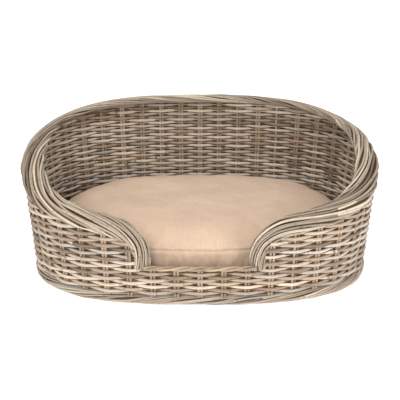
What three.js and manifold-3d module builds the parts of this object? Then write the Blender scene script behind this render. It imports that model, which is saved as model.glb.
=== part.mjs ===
// Wicker pet bed basket with a zipped oval cushion.
// Millimetres, +Z up, entry towards -Y, length along X. The origin is on the floor, at the centre of the
// outline.
//
// The basket's plan is a rounded oblong. Every place on the wall is given by s, the distance round the
// oblong from the middle of the entry, by z, and by an offset square to the wall. The cushion's plan is a
// four-centred oval.
import * as THREE from "three";
import { mergeVertices } from "three/addons/utils/BufferGeometryUtils.js";
import Module from "manifold-3d";

const wasm = await Module();
wasm.setup();

// ---- Driving dimensions -----------------------------------------------------------------------------
const GAP = 0.35; // between pieces that touch
const HALF_LENGTH = 398; // stake line at the floor, along X
const HALF_DEPTH = 258; // stake line at the floor, along Y
const SQUARENESS = 2.8; // power of the oblong: 2 is an ellipse, more is squarer
const PAIRS = 42; // pairs of stakes round the wall
const CROSSING_PAIRS = 6; // each side of the middle, pairs that run under the floor to the opposite wall

const FLARE = [[0, 0], [190, 11.2], [335, 15.5]]; // [height, how far the wall has leaned out]
const LOWER_TOP = 88; // the rounds below the entry
const MIDDLE_TOP = 172; // the rounds below the front shoulders
const WEAVE = 7.5; // thickness of the woven sheet
const STAKE = 6.6; // diameter of one stake
const PAIR_WIDTH = 13;
const PASS_HALF = 8.5; // half the stretch where the weave runs straight past a pair

const FOOT = { offset: -2, halfWidth: 13.5, halfHeight: 12 };
const HOOP = { offset: -24, radius: 7 };
const CROSSING_Z = 2 * FOOT.halfHeight + GAP + STAKE / 2; // stakes where they cross the base
const TOE = 30; // how far the end stakes run in over the base hoop
const LOWER_BOTTOM = CROSSING_Z + STAKE / 2 + 3;

// Middle of the rolled rim border, [s, z], from the foot of one leg at the entry to the back.
const RIM = [
  [128, 88.8], [128, 126], [141, 159], [180, 185], [250, 197], [330, 211], [395, 229], [460, 256],
  [521, 277], [595, 287], [667, 295], [725, 305], [830, 322], [940, 331], [1040, 333.5],
];
const RIM_HALF_THICK = 11;
const RIM_LEG = { halfWidth: 20, offset: -7, roll: 65 }; // offset is from the stake line
const RIM_SIDE = { halfWidth: 29, offset: -15, roll: 20 };
const RIM_BACK_HALF_WIDTH = 24;
const RIM_STEPS = 60;
const POLE_RADIUS = 6.3;
const ENTRY_EDGE = { end: 108.5, halfWidth: 9, halfHeight: 4.7 };

const CUSHION = { halfLength: 358, halfDepth: 222, endRadius: 208, band: 72, crown: 42, shiftY: -5 };
const CANVAS = 1.5;
const LINER = 0.8;
const ZIP = { halfAngle: 10, height: 22, tape: 9, thick: 1.2 };
const SLIDER = { length: 13, width: 9, height: 4.4 };
const PULL = { length: 15, width: 6, thick: 1.6, pin: 0.8, pinOut: 3.2 };

// ---- The plans --------------------------------------------------------------------------------------
// A rounded oblong, |x / a| ^ power + |y / b| ^ power = 1.
class Oblong {
  constructor(halfLength, halfDepth, power, steps = 1440) {
    Object.assign(this, { halfLength, halfDepth, power, steps });
    this.distances = [0];
    for (let i = 1; i <= steps; i++) {
      this.distances.push(this.distances[i - 1] + this.edge(i).distanceTo(this.edge(i - 1)));
    }
    this.length = this.distances[steps];
  }

  // The edge's point in one of the directions, counted in steps of a turn from -Y towards +X.
  edge(step) {
    const turn = (2 * Math.PI * step) / this.steps;
    const [x, y] = [Math.sin(turn), -Math.cos(turn)];
    const sum = Math.abs(x / this.halfLength) ** this.power + Math.abs(y / this.halfDepth) ** this.power;
    return new THREE.Vector3(x, y, 0).multiplyScalar(sum ** (-1 / this.power));
  }

  // The point at distance s round the oblong, moved out by offset, with the outward normal and the way round.
  at(s, offset = 0) {
    const round = ((s % this.length) + this.length) % this.length;
    let [low, high] = [0, this.steps];
    while (high - low > 1) {
      const middle = (low + high) >> 1;
      if (this.distances[middle] <= round) low = middle;
      else high = middle;
    }
    const [before, after] = [this.distances[low], this.distances[high]];
    const point = this.edge(low + (round - before) / (after - before));
    const slope = (value, half) => (Math.sign(value) * Math.abs(value / half) ** (this.power - 1)) / half;
    const normal = new THREE.Vector3(slope(point.x, this.halfLength), slope(point.y, this.halfDepth), 0);
    normal.normalize();
    const along = new THREE.Vector3(-normal.y, normal.x, 0);
    return { point: point.addScaledVector(normal, offset), normal, along };
  }

  shape(offset, sides = 56) {
    const corners = Array.from({ length: sides }, (_, i) => this.at((i * this.length) / sides, offset).point);
    return new THREE.Shape(corners.map((p) => new THREE.Vector2(p.x, p.y)));
  }
}

// Two long side arcs and two end arcs.
class Oval {
  constructor(halfLength, halfDepth, endRadius) {
    const inset = halfLength - endRadius;
    this.inset = inset;
    this.endRadius = endRadius;
    this.sideRadius = (inset ** 2 + halfDepth ** 2 - endRadius ** 2) / (2 * (halfDepth - endRadius));
    this.drop = this.sideRadius - halfDepth; // from the middle to the centre of a side arc
    this.turn = Math.atan2(inset, this.drop); // half the angle of a side arc
    this.sideLength = this.turn * this.sideRadius;
    this.quarter = this.sideLength + (Math.PI / 2 - this.turn) * endRadius;
    this.length = 4 * this.quarter;
  }

  // The point at distance s round the oval from the middle of the front, moved out by offset.
  at(s, offset = 0) {
    const round = ((s % this.length) + this.length) % this.length;
    const right = round < this.length / 2;
    const half = right ? round : this.length - round;
    const front = half < this.quarter;
    const w = front ? half : 2 * this.quarter - half;
    const onSide = w < this.sideLength;
    const angle = onSide ? w / this.sideRadius : this.turn + (w - this.sideLength) / this.endRadius;
    const radius = (onSide ? this.sideRadius : this.endRadius) + offset;
    const x = (onSide ? 0 : this.inset) + radius * Math.sin(angle);
    const y = (onSide ? -this.drop : 0) + radius * Math.cos(angle);
    return new THREE.Vector3(right ? x : -x, front ? -y : y, 0);
  }
}

const wall = new Oblong(HALF_LENGTH, HALF_DEPTH, SQUARENESS);
const pitch = wall.length / PAIRS;
const half = wall.length / 2;
const UP = new THREE.Vector3(0, 0, 1);

const lean = (z) => {
  const i = Math.max(1, FLARE.findIndex(([height]) => height >= z));
  const [[z0, f0], [z1, f1]] = [FLARE[i - 1], FLARE[i]];
  return THREE.MathUtils.mapLinear(z, z0, z1, f0, f1);
};

// A place on the wall.
const onWall = (s, offset, z) => wall.at(s, offset + lean(z)).point.setZ(z);

// ---- Solids -----------------------------------------------------------------------------------------
const moveVertices = (geometry, place) => {
  const position = geometry.getAttribute("position");
  for (let i = 0; i < position.count; i++) {
    const p = place(position.getX(i), position.getY(i), position.getZ(i), i);
    position.setXYZ(i, p.x, p.y, p.z);
  }
  geometry.computeVertexNormals();
  return geometry;
};

// An open run: a section with its own x and y, carried through the stations by place(station, x, y).
// Offset, height and distance round the wall make a left-handed set, so the stations are taken last to first.
const run = (section, stations, place) => {
  const last = stations.length - 1;
  return moveVertices(
    new THREE.ExtrudeGeometry(section, { depth: last, steps: last, bevelEnabled: false }),
    (x, y, z) => place(stations[last - Math.round(z)], x, y),
  );
};

// A closed ring: corners is the section, a list of [x, y], carried through the stations.
const ring = (corners, stations, place) => {
  const geometry = new THREE.TorusGeometry(1, 0.5, corners.length, stations.length);
  const uv = geometry.getAttribute("uv");
  return moveVertices(geometry, (x, y, z, i) => {
    const station = stations[Math.round(uv.getX(i) * stations.length) % stations.length];
    const corner = corners[Math.round(uv.getY(i) * corners.length) % corners.length];
    return place(station, ...corner);
  });
};

const polygon = (sides, rx, ry, startTurn = 0.5) =>
  Array.from({ length: sides }, (_, i) => {
    const angle = (2 * Math.PI * (i + startTurn)) / sides;
    return [rx * Math.cos(angle), ry * Math.sin(angle)];
  });

// A polygon whose flat sides reach rx and ry, so that it rests on a flat.
const flatPolygon = (sides, rx, ry) => {
  const flat = Math.cos(Math.PI / sides);
  return polygon(sides, rx / flat, ry / flat);
};

const shapeOf = (corners) => new THREE.Shape(corners.map(([x, y]) => new THREE.Vector2(x, y)));

const solid = (geometry) => {
  const bare = geometry.clone();
  bare.deleteAttribute("normal");
  bare.deleteAttribute("uv");
  const merged = mergeVertices(bare, 1e-3);
  return new wasm.Manifold(
    new wasm.Mesh({
      numProp: 3,
      vertProperties: merged.attributes.position.array,
      triVerts: new Uint32Array(merged.index.array),
    }),
  );
};

const geometryOf = (manifold) => {
  const mesh = manifold.getMesh();
  const geometry = new THREE.BufferGeometry();
  geometry.setAttribute("position", new THREE.BufferAttribute(new Float32Array(mesh.vertProperties), 3));
  geometry.setIndex(new THREE.BufferAttribute(new Uint32Array(mesh.triVerts), 1));
  geometry.computeVertexNormals();
  return geometry;
};

// ---- Materials --------------------------------------------------------------------------------------
const finish = (color, roughness, metalness = 0) =>
  new THREE.MeshStandardMaterial({ color, roughness, metalness });
const greyRattan = finish(0x9c8b76, 0.75);
const brownCane = finish(0x9a7b5c, 0.7);
const borderCane = finish(0xa39480, 0.72);
const polePeel = finish(0xb59a72, 0.65);
const canvas = finish(0xd2b48f, 0.95);
const brownLiner = finish(0x3d2a22, 0.45);
const filling = finish(0xe9e6df, 1);
const creamTape = finish(0xe8ddcb, 0.8);
const zincAlloy = finish(0x8d8a84, 0.35, 0.9);

const basket = new THREE.Group();
const add = (name, geometry, material, parent = basket) => {
  const mesh = new THREE.Mesh(geometry, material);
  mesh.name = name;
  parent.add(mesh);
  return mesh;
};

// ---- The rim border ---------------------------------------------------------------------------------
const rimPoints = [...RIM, [half, 333.5], ...RIM.toReversed().map(([s, z]) => [wall.length - s, z])];
const rimCurve = new THREE.SplineCurve(rimPoints.map(([s, z]) => new THREE.Vector2(s, z)));
const rimLength = rimCurve.getLength();
const ease = THREE.MathUtils.smoothstep;

const rimStation = (u) => {
  const middle = rimCurve.getPointAt(u);
  const tangent = rimCurve.getTangentAt(u);
  const fromEnd = Math.min(u, 1 - u) * rimLength;
  const turned = ease(fromEnd, 50, 190); // from a leg, rolled flat to the wall, to the lip along the side
  const behind = ease(fromEnd, 620, 820);
  const side = THREE.MathUtils.lerp(RIM_SIDE.halfWidth, RIM_BACK_HALF_WIDTH, behind);
  const legToSide = (key) => THREE.MathUtils.lerp(RIM_LEG[key], RIM_SIDE[key], turned);
  return {
    s: middle.x,
    z: middle.y,
    away: new THREE.Vector2(-tangent.y, tangent.x), // in the wall's surface, away from the weave
    halfWidth: THREE.MathUtils.lerp(RIM_LEG.halfWidth, side, turned),
    offset: legToSide("offset"),
    roll: THREE.MathUtils.degToRad(legToSide("roll")),
  };
};

const onRim = (station, x, y) => {
  const { normal, along } = wall.at(station.s);
  const away = along.clone().multiplyScalar(station.away.x).addScaledVector(UP, station.away.y);
  const [cos, sin] = [Math.cos(station.roll), Math.sin(station.roll)];
  const wide = normal.clone().multiplyScalar(cos).addScaledVector(away, -sin);
  const thick = normal.clone().multiplyScalar(sin).addScaledVector(away, cos);
  return onWall(station.s, station.offset, station.z).addScaledVector(wide, x).addScaledVector(thick, y);
};

// How far the border reaches towards the weave from its middle.
const rimReach = ({ halfWidth, roll }) =>
  Math.hypot(halfWidth * Math.sin(roll), RIM_HALF_THICK * Math.cos(roll));

const rimStations = Array.from({ length: RIM_STEPS + 1 }, (_, i) => rimStation(i / RIM_STEPS));

// The border is drawn as wide as its lip and narrowed along the run, outside the hole for the pole.
const HOLE_RADIUS = POLE_RADIUS + 1.4;
const borderSection = shapeOf(polygon(10, RIM_SIDE.halfWidth, RIM_HALF_THICK));
borderSection.holes.push(shapeOf(polygon(6, HOLE_RADIUS, HOLE_RADIUS)));
add(
  "rim_border",
  run(borderSection, rimStations, (station, x, y) => {
    const inHole = Math.hypot(x, y) < HOLE_RADIUS + 0.1;
    return onRim(station, inHole ? x : (x * station.halfWidth) / RIM_SIDE.halfWidth, y);
  }),
  borderCane,
);
add("rim_pole", run(shapeOf(polygon(6, POLE_RADIUS, POLE_RADIUS)), rimStations, onRim), polePeel);

// The top of the weave under the border: the border's middle line moved down by its reach.
const underRim = Array.from({ length: 401 }, (_, i) => {
  const station = rimStation(i / 400);
  const reach = rimReach(station) + 1.5;
  return [station.s - station.away.x * reach, station.z - station.away.y * reach];
});
const weaveTop = (s) => {
  const crossings = underRim.slice(1).flatMap(([s1, z1], i) => {
    const [s0, z0] = underRim[i];
    return (s0 - s) * (s1 - s) <= 0 && s0 !== s1 ? [THREE.MathUtils.mapLinear(s, s0, s1, z0, z1)] : [];
  });
  return Math.min(...crossings);
};

// ---- The woven wall ---------------------------------------------------------------------------------
// The sheet of weavers runs outside one pair of stakes and inside the next. phase 0 or 1 says which comes
// first.
const PASS = STAKE / 2 + GAP + WEAVE / 2;
const weaveOffset = (s, phase) => {
  const turn = s / pitch;
  const pair = Math.floor(turn);
  const side = (pair + phase) % 2 ? -PASS : PASS;
  const from = PASS_HALF / pitch;
  const share = THREE.MathUtils.clamp((turn - pair - from) / (1 - 2 * from), 0, 1);
  return THREE.MathUtils.lerp(side, -side, share);
};

const stakeColumns = Array.from({ length: PAIRS }, (_, i) => i * pitch);
const passColumns = stakeColumns.flatMap((s) => [s - PASS_HALF, s + PASS_HALF]);

const SHEET = [[-1, 0], [1, 0], [1, 1], [-1, 1]]; // corners of the sheet's section: side, and foot or top
const sheetCorner = (phase, bottom, top) => (s, side, level) =>
  onWall(s, weaveOffset(s, phase) + (side * WEAVE) / 2, level ? top(s) : bottom);

const roundColumns = passColumns.map((s) => (s + wall.length) % wall.length);
add(
  "lower_weave",
  ring(SHEET, roundColumns, sheetCorner(0, LOWER_BOTTOM, () => LOWER_TOP)),
  greyRattan,
);

const openSheet = (from, extra, phase, bottom, top) => {
  const columns = [...passColumns, ...extra, ...extra.map((s) => wall.length - s), from, wall.length - from]
    .filter((s) => s >= from && s <= wall.length - from)
    .sort((a, b) => a - b);
  return run(shapeOf(SHEET), columns, sheetCorner(phase, bottom, top));
};

const legEdge = RIM[0][0] + RIM_LEG.halfWidth + 3;
add(
  "middle_weave",
  openSheet(legEdge, [legEdge + 6, legEdge + 13, legEdge + 20], 1, LOWER_TOP + GAP,
    (s) => Math.min(MIDDLE_TOP, weaveTop(s))),
  greyRattan,
);

const shoulder = RIM.map(([s]) => s).find((s) => s > 250 && weaveTop(s) > MIDDLE_TOP + 8);
add(
  "upper_weave",
  openSheet(shoulder, [], 0, MIDDLE_TOP + GAP, weaveTop),
  greyRattan,
);

add(
  "entry_edge",
  run(
    shapeOf(polygon(8, ENTRY_EDGE.halfWidth, ENTRY_EDGE.halfHeight)),
    Array.from({ length: 7 }, (_, i) => (ENTRY_EDGE.end * (i - 3)) / 3),
    (s, x, y) => onWall(s, x, LOWER_TOP + GAP + ENTRY_EDGE.halfHeight + y),
  ),
  brownCane,
);

// ---- The foot ---------------------------------------------------------------------------------------
const footStations = Array.from({ length: 56 }, (_, i) => (i * wall.length) / 56);
add(
  "foot_border",
  ring(flatPolygon(8, FOOT.halfWidth, FOOT.halfHeight), footStations, (s, x, y) =>
    wall.at(s, FOOT.offset + x).point.setZ(FOOT.halfHeight + y)),
  borderCane,
);

const hoopZ = CROSSING_Z - STAKE / 2 - GAP - HOOP.radius;
add(
  "base_hoop",
  ring(polygon(6, HOOP.radius, HOOP.radius), footStations, (s, x, y) =>
    wall.at(s, HOOP.offset + x).point.setZ(hoopZ + y)),
  polePeel,
);

// ---- The stakes -------------------------------------------------------------------------------------
// A pair of stakes side by side, joined along a narrow waist.
const WAIST = 0.55;
const pairSection = shapeOf([
  [-0.5, 0], [-0.25, -0.5], [0, -0.5 * WAIST], [0.25, -0.5],
  [0.5, 0], [0.25, 0.5], [0, 0.5 * WAIST], [-0.25, 0.5],
].map(([x, y]) => [x * PAIR_WIDTH, y * STAKE]));

// One wall's part of a stake, from the base up: each station has its place, its width and its thickness.
// The foot of it reaches in by toe, against the direction out.
const rise = (pair, toe, out) => {
  const s = pair * pitch;
  const { normal, along } = wall.at(s);
  const fromEntry = Math.abs(s - wall.length * Math.round(s / wall.length));
  const top = (fromEntry < legEdge ? LOWER_TOP : weaveTop(fromEntry - PAIR_WIDTH / 2)) - GAP;
  const station = (inward, z, tilt) => ({
    place: onWall(s, 0, z).addScaledVector(out, -inward),
    wide: along.clone(),
    thick: normal.clone().multiplyScalar(Math.cos(tilt)).addScaledVector(UP, -Math.sin(tilt)),
  });
  const knots = [LOWER_TOP, MIDDLE_TOP].filter((z) => z < top - 2);
  return [
    station(toe, CROSSING_Z, Math.PI / 2),
    station(6, CROSSING_Z, 0.45 * Math.PI),
    station(0, CROSSING_Z + 5.5, Math.PI / 8),
    ...[...knots, top].map((z) => station(0, z, 0)),
  ];
};

const stake = (stations) =>
  run(pairSection, stations, ({ place, wide, thick }, x, y) =>
    place.clone().addScaledVector(wide, x).addScaledVector(thick, y));

const numbered = (n) => String(n).padStart(2, "0");

// Pairs that cross under the floor, one length of cane from the back wall to the front.
const FORWARD = new THREE.Vector3(0, -1, 0);
const BACKWARD = new THREE.Vector3(0, 1, 0);
for (let i = -CROSSING_PAIRS; i <= CROSSING_PAIRS; i++) {
  const front = rise(i, TOE, FORWARD);
  const back = rise(PAIRS / 2 - i, TOE, BACKWARD);
  for (const station of back) station.wide.negate();
  for (const inner of [front[0], back[0]]) inner.wide = new THREE.Vector3(1, 0, 0);
  const name = `crossing_stakes_${numbered(i + CROSSING_PAIRS + 1)}`;
  add(name, stake([...back.toReversed(), ...front]), brownCane);
}

// Pairs at the two ends, which stop over the base hoop.
const endPairs = Array.from({ length: PAIRS / 2 - 2 * CROSSING_PAIRS - 1 }, (_, i) => CROSSING_PAIRS + 1 + i);
for (const [side, sign] of [["right", 1], ["left", -1]]) {
  for (const pair of endPairs) {
    const out = wall.at(sign * pair * pitch).normal;
    const name = `${side}_end_stakes_${numbered(pair - CROSSING_PAIRS)}`;
    add(name, stake(rise(sign * pair, TOE, out)), brownCane);
  }
}

// ---- The woven base ---------------------------------------------------------------------------------
// The floor's sheet runs over one crossing pair and under the next.
const crossingX = Array.from({ length: 2 * CROSSING_PAIRS + 1 }, (_, i) =>
  onWall((i - CROSSING_PAIRS) * pitch, 0, CROSSING_Z).x);
const floorLine = (side) =>
  crossingX.flatMap((x, i) => [-PASS_HALF, PASS_HALF].map((dx) => [
    x + dx, CROSSING_Z + (i % 2 ? -PASS : PASS) + (side * WEAVE) / 2]));
const floorEnd = HALF_LENGTH;
const closeLine = (line) => [[-floorEnd, line[0][1]], ...line, [floorEnd, line.at(-1)[1]]];
const floorProfile = shapeOf([...closeLine(floorLine(-1)), ...closeLine(floorLine(1)).toReversed()]);
const floorSlab = new THREE.ExtrudeGeometry(floorProfile, { depth: 2 * HALF_DEPTH, bevelEnabled: false })
  .rotateX(Math.PI / 2)
  .translate(0, HALF_DEPTH, 0);
const floorOutline = new THREE.ExtrudeGeometry(wall.shape(HOOP.offset - HOOP.radius - 1.5), {
  depth: 100,
  bevelEnabled: false,
});
add("base_weave", geometryOf(solid(floorSlab).intersect(solid(floorOutline))), greyRattan);
const floorTop = CROSSING_Z + PASS + WEAVE / 2;

// ---- The cushion ------------------------------------------------------------------------------------
const cushion = new THREE.Group();
cushion.position.set(0, CUSHION.shiftY, floorTop + GAP);
basket.add(cushion);
const bed = new Oval(CUSHION.halfLength, CUSHION.halfDepth, CUSHION.endRadius);
const COLUMNS = 40;

// A domed or flat piece of the cushion: a lathed profile of [share of the way out, inset, height], made oval.
const cushionPiece = (profile) => {
  const points = profile.map((_, i) => new THREE.Vector2(profile[i][0] === 0 ? 0 : 1 + i, i));
  const geometry = new THREE.LatheGeometry(points, COLUMNS);
  return moveVertices(geometry, (x, y, z) => {
    const [share, inset, height] = profile[Math.round(y)];
    const turn = Math.atan2(x, z) / (2 * Math.PI);
    const edge = bed.at(turn * bed.length, -inset);
    return new THREE.Vector3(edge.x * share, edge.y * share, height);
  });
};

const seamZ = CANVAS + GAP + CUSHION.band; // top edge of the band
const crownAt = (share) => CUSHION.crown * (1 - share ** 4) ** 0.8;
const SHARES = [0, 0.35, 0.62, 0.82, 0.94, 1];
const dome = (inset, base) => SHARES.map((share) => [share, inset, base + crownAt(share)]);
const skin = (inset, base, thick) => [...dome(inset, base - thick), ...dome(inset, base).toReversed()];

add("cover_top_panel", cushionPiece(skin(0, seamZ + GAP + CANVAS, CANVAS)), canvas, cushion);
const flatPanel = [[0, 0, 0], [1, 0, 0], [1, 0, CANVAS], [0, 0, CANVAS]];
add("cover_bottom_panel", cushionPiece(flatPanel), canvas, cushion);

const bedStations = Array.from({ length: COLUMNS }, (_, i) => (i * bed.length) / COLUMNS);
const band = (inset, thick, from, to) =>
  ring([[-thick, 0], [0, 0], [0, 1], [-thick, 1]], bedStations, (s, x, y) =>
    bed.at(s, x - inset).setZ(y ? to : from));
add("cover_side_band", band(0, CANVAS, CANVAS + GAP, seamZ), canvas, cushion);

// The liner is a bag in two halves, and the filling stands inside it.
const linerInset = CANVAS + GAP;
const linerFoot = CANVAS + GAP;
const linerTop = seamZ;
const linerSplit = (linerFoot + linerTop) / 2;
const fillInset = linerInset + LINER + GAP;
const bagWall = (level) => [[1, linerInset, level], [1, linerInset + LINER, level]];
add("liner_top", cushionPiece([
  ...dome(linerInset + LINER, linerTop - LINER),
  ...bagWall(linerSplit + GAP).toReversed(),
  ...dome(linerInset, linerTop).toReversed(),
]), brownLiner, cushion);
add("liner_bottom", cushionPiece([
  [0, 0, linerFoot],
  [1, linerInset, linerFoot],
  ...bagWall(linerSplit),
  [1, linerInset + LINER, linerFoot + LINER],
  [0, 0, linerFoot + LINER],
]), brownLiner, cushion);
add("cushion_filling", cushionPiece([
  [0, 0, linerFoot + LINER + GAP],
  [1, fillInset, linerFoot + LINER + GAP],
  ...dome(fillInset, linerTop - LINER - GAP).toReversed(),
]), filling, cushion);

// ---- The zip, on the back of the side band ----------------------------------------------------------
// The back of the cushion is an arc about zipCentre, so the slider travels by turning about it.
const zipCentre = new THREE.Vector3(0, -bed.drop, 0);
const zipAngles = (steps) => Array.from({ length: steps + 1 }, (_, i) =>
  THREE.MathUtils.degToRad(ZIP.halfAngle * (1 - (2 * i) / steps)));
const onZip = (angle, out, z) => {
  const radius = bed.sideRadius + out;
  return new THREE.Vector3(radius * Math.sin(angle), radius * Math.cos(angle) + zipCentre.y, z);
};
const tape = (from) =>
  run(shapeOf([[0, 0], [ZIP.thick, 0], [ZIP.thick, ZIP.tape], [0, ZIP.tape]]), zipAngles(20), (angle, x, y) =>
    onZip(angle, GAP + x, from + y));
add("zip_tape_lower", tape(ZIP.height - ZIP.tape - GAP / 2), creamTape, cushion);
add("zip_tape_upper", tape(ZIP.height + GAP / 2), creamTape, cushion);

// The slider rests at the right-hand end of the zip, and its pull lies flat towards the middle.
const SLIDER_ANGLE = THREE.MathUtils.degToRad(ZIP.halfAngle - 0.6);
const slider = new THREE.Group();
slider.position.copy(onZip(SLIDER_ANGLE, 2 * GAP + ZIP.thick + 0.4, ZIP.height));
slider.rotation.z = -SLIDER_ANGLE;
cushion.add(slider);

const roundedBar = (length, width, radius) => {
  const shape = new THREE.Shape();
  const [x, y] = [length / 2 - radius, width / 2 - radius];
  shape.absarc(x, y, radius, 0, Math.PI / 2);
  shape.absarc(-x, y, radius, Math.PI / 2, Math.PI);
  shape.absarc(-x, -y, radius, Math.PI, 1.5 * Math.PI);
  shape.absarc(x, -y, radius, 1.5 * Math.PI, 2 * Math.PI);
  return shape;
};
const plate = (shape, depth) =>
  new THREE.ExtrudeGeometry(shape, { depth, bevelEnabled: false, curveSegments: 3 });
const standUp = (geometry) => geometry.rotateX(Math.PI / 2).rotateZ(Math.PI); // drawn flat, turned to face +Y

// A body with a loop above it, which the pull's pin runs through.
const box = (x, y, z, height) => solid(new THREE.BoxGeometry(x, y, z).translate(0, 0, height));
const rod = (radius, length) =>
  solid(new THREE.CylinderGeometry(radius, radius, length, 8).translate(0, 0, PULL.pinOut));
const body = solid(plate(roundedBar(SLIDER.length, SLIDER.width, 2.5), 1.6));
const bridge = box(5, 2.6, SLIDER.height - 1, (SLIDER.height + 1) / 2);
const pinHole = rod(PULL.pin + GAP, 9);
add("zip_slider", standUp(geometryOf(body.add(bridge).subtract(pinHole))), zincAlloy, slider);

// A flat tab with a window round the bridge, and a pin across the window.
const tabPlate = plate(roundedBar(PULL.length, PULL.width + 3, 0.6), PULL.thick);
const tab = solid(tabPlate.translate(1.2 - PULL.length / 2, 0, PULL.pinOut - PULL.thick / 2));
const windowCut = box(7, 4, 4, PULL.pinOut);
const pin = rod(PULL.pin, PULL.width);
const pullGroup = new THREE.Group();
slider.add(pullGroup);
add("zip_pull", standUp(geometryOf(tab.subtract(windowCut).add(pin))), zincAlloy, pullGroup);

// ---- The whole --------------------------------------------------------------------------------------
// The outline's centre is put at the origin.
const bounds = new THREE.Box3().setFromObject(basket);
basket.position.set(-(bounds.min.x + bounds.max.x) / 2, -(bounds.min.y + bounds.max.y) / 2, -bounds.min.z);

export default basket;
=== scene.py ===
"""The looks of the rattan pet bed: every cane of the weave and the borders, and the stuffed cushion."""

import math

import bmesh
import bpy
import numpy as np
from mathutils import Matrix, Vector, noise


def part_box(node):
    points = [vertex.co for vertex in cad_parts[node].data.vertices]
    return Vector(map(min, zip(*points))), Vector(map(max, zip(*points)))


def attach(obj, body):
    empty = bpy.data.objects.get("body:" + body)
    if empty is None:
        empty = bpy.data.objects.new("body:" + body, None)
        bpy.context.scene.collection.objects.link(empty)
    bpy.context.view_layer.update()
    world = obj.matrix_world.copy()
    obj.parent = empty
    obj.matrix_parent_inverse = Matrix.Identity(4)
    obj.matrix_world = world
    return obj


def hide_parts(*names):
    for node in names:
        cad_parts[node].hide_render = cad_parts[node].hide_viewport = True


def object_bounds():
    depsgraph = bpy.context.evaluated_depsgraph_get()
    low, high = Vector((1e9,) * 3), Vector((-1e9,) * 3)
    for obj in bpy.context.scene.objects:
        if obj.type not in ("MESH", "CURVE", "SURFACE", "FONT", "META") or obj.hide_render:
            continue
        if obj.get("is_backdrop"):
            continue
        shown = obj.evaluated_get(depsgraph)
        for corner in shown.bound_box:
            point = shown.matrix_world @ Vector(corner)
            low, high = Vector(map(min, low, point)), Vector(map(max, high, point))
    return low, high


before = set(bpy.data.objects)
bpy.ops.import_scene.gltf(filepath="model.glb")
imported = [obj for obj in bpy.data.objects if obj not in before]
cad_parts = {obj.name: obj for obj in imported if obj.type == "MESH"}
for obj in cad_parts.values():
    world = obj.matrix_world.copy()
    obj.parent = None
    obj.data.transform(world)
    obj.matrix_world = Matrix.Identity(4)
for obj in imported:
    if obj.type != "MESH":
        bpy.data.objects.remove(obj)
cad_low, cad_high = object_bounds()
scene = bpy.context.scene
rng = np.random.default_rng(11)
MM = 0.001

# ---- The camera ---------------------------------------------------------------------------------
FOOT_LOW, FOOT_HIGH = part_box("foot_border")
SHIFT_Y = (FOOT_LOW.y + FOOT_HIGH.y) / 2  # the wall's plan is centred here, and the origin on the whole part

CAMERA_FROM = Vector((0, -1.7636 + SHIFT_Y, 0.8995))
CAMERA_TOWARDS = Vector((0, SHIFT_Y, 0.14586))
camera_data = bpy.data.cameras.new("camera")
camera_data.lens = 69.34
camera_data.sensor_width = 36
camera = bpy.data.objects.new("camera", camera_data)
camera.location = CAMERA_FROM
camera.rotation_euler = (CAMERA_TOWARDS - CAMERA_FROM).to_track_quat("-Z", "Y").to_euler()
scene.collection.objects.link(camera)
scene.camera = camera

# ---- Dimensions of the CAD, in millimetres ------------------------------------------------------
WALL_HALF_LENGTH, WALL_HALF_DEPTH, WALL_POWER = 398, 258, 2.8
PAIRS = 42  # pairs of stakes round the wall
CROSSING_PAIRS = 6  # pairs on each side of the middle one that cross under the floor
FLARE_Z = [0, 190, 335]  # the wall leans out by FLARE_OUT at these heights
FLARE_OUT = [0, 11.2, 15.5]
LOWER_TOP, MIDDLE_TOP = 88, 172
FOOT_OFFSET, FOOT_HALF_WIDTH, FOOT_HALF_HEIGHT = -2, 13.5, 12
HOOP_OFFSET, HOOP_RADIUS, HOOP_Z = -24, 7, 17
CROSSING_Z = 27.65
TOE = 30  # how far a stake at the ends reaches in under the floor
# Half of the rim's middle line: the distance round the wall from the middle of the entry, and the height.
RIM_HALF = [
    (128, 88.8), (128, 126), (141, 159), (180, 185), (250, 197), (330, 211), (395, 229), (460, 256),
    (521, 277), (595, 287), (667, 295), (725, 305), (830, 322), (940, 331), (1040, 333.5),
]
RIM_BACK_Z = 333.5
RIM_HALF_THICK = 11
# The rim's section changes from the legs at the entry to the sides, and from the sides to the back.
LEG_TO_SIDE, SIDE_TO_BACK = (50, 190), (620, 820)
LEG_HALF_WIDTH, SIDE_HALF_WIDTH, BACK_HALF_WIDTH = 20, 29, 24
LEG_OFFSET, SIDE_OFFSET = -7, -15
LEG_ROLL, SIDE_ROLL = 65, 20
ENTRY_EDGE_END, ENTRY_EDGE_Z = 108.5, 93.0
BED_HALF_LENGTH, BED_HALF_DEPTH, BED_END_RADIUS = 358, 222, 208
GAP = 0.35  # between pieces that touch

# ---- Canes --------------------------------------------------------------------------------------
FIRST_ROW_Z, LAST_ROW_Z, ROW_PITCH = 30.5, 322, 8.3
WEAVER_HALF_HEIGHT = 3.8
WEAVER_HALF_THICK = 3.3
WEAVE_SWING = 4.9  # how far a weaver's middle goes out and in round the stakes
SWING_FLATNESS = 1.32  # above 1, a weaver runs straight for a while as it passes a stake
WEAVER_WANDER, WEAVER_JITTER = (0.7, 14), (0.35, 5)  # up and down: its size, and over how many stations
WEAVERS_PER_ROUND = 4.5
SHADE_FILLER_HALF_THICK, SHADE_FILLER_HALF_HEIGHT = 1.2, 3.1
TUCK_UP, TUCK_IN = 5, 8  # how far a row that ends at the border runs up and along into it
STEPS_PER_PAIR = 10
STAKE_RADIUS = 3.3
STAKE_APART = 7.0
STAKE_INTO_BORDER = 7
CROSSING_STATIONS, END_STATIONS = 150, 70
RIM_STATIONS, RIM_STRANDS, RIM_CANE = 420, 17, 2.9
RIM_TURN = 640  # the length of rim over which a strand winds once round it
RIM_FILL, UNDER_FILL, FOOT_FILL = 0.41, 0.42, 0.44  # a strand's radius, as a share of the room that it has
RIM_UNDER = 3.4  # how far the under layer of strands lies below the outer one
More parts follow.
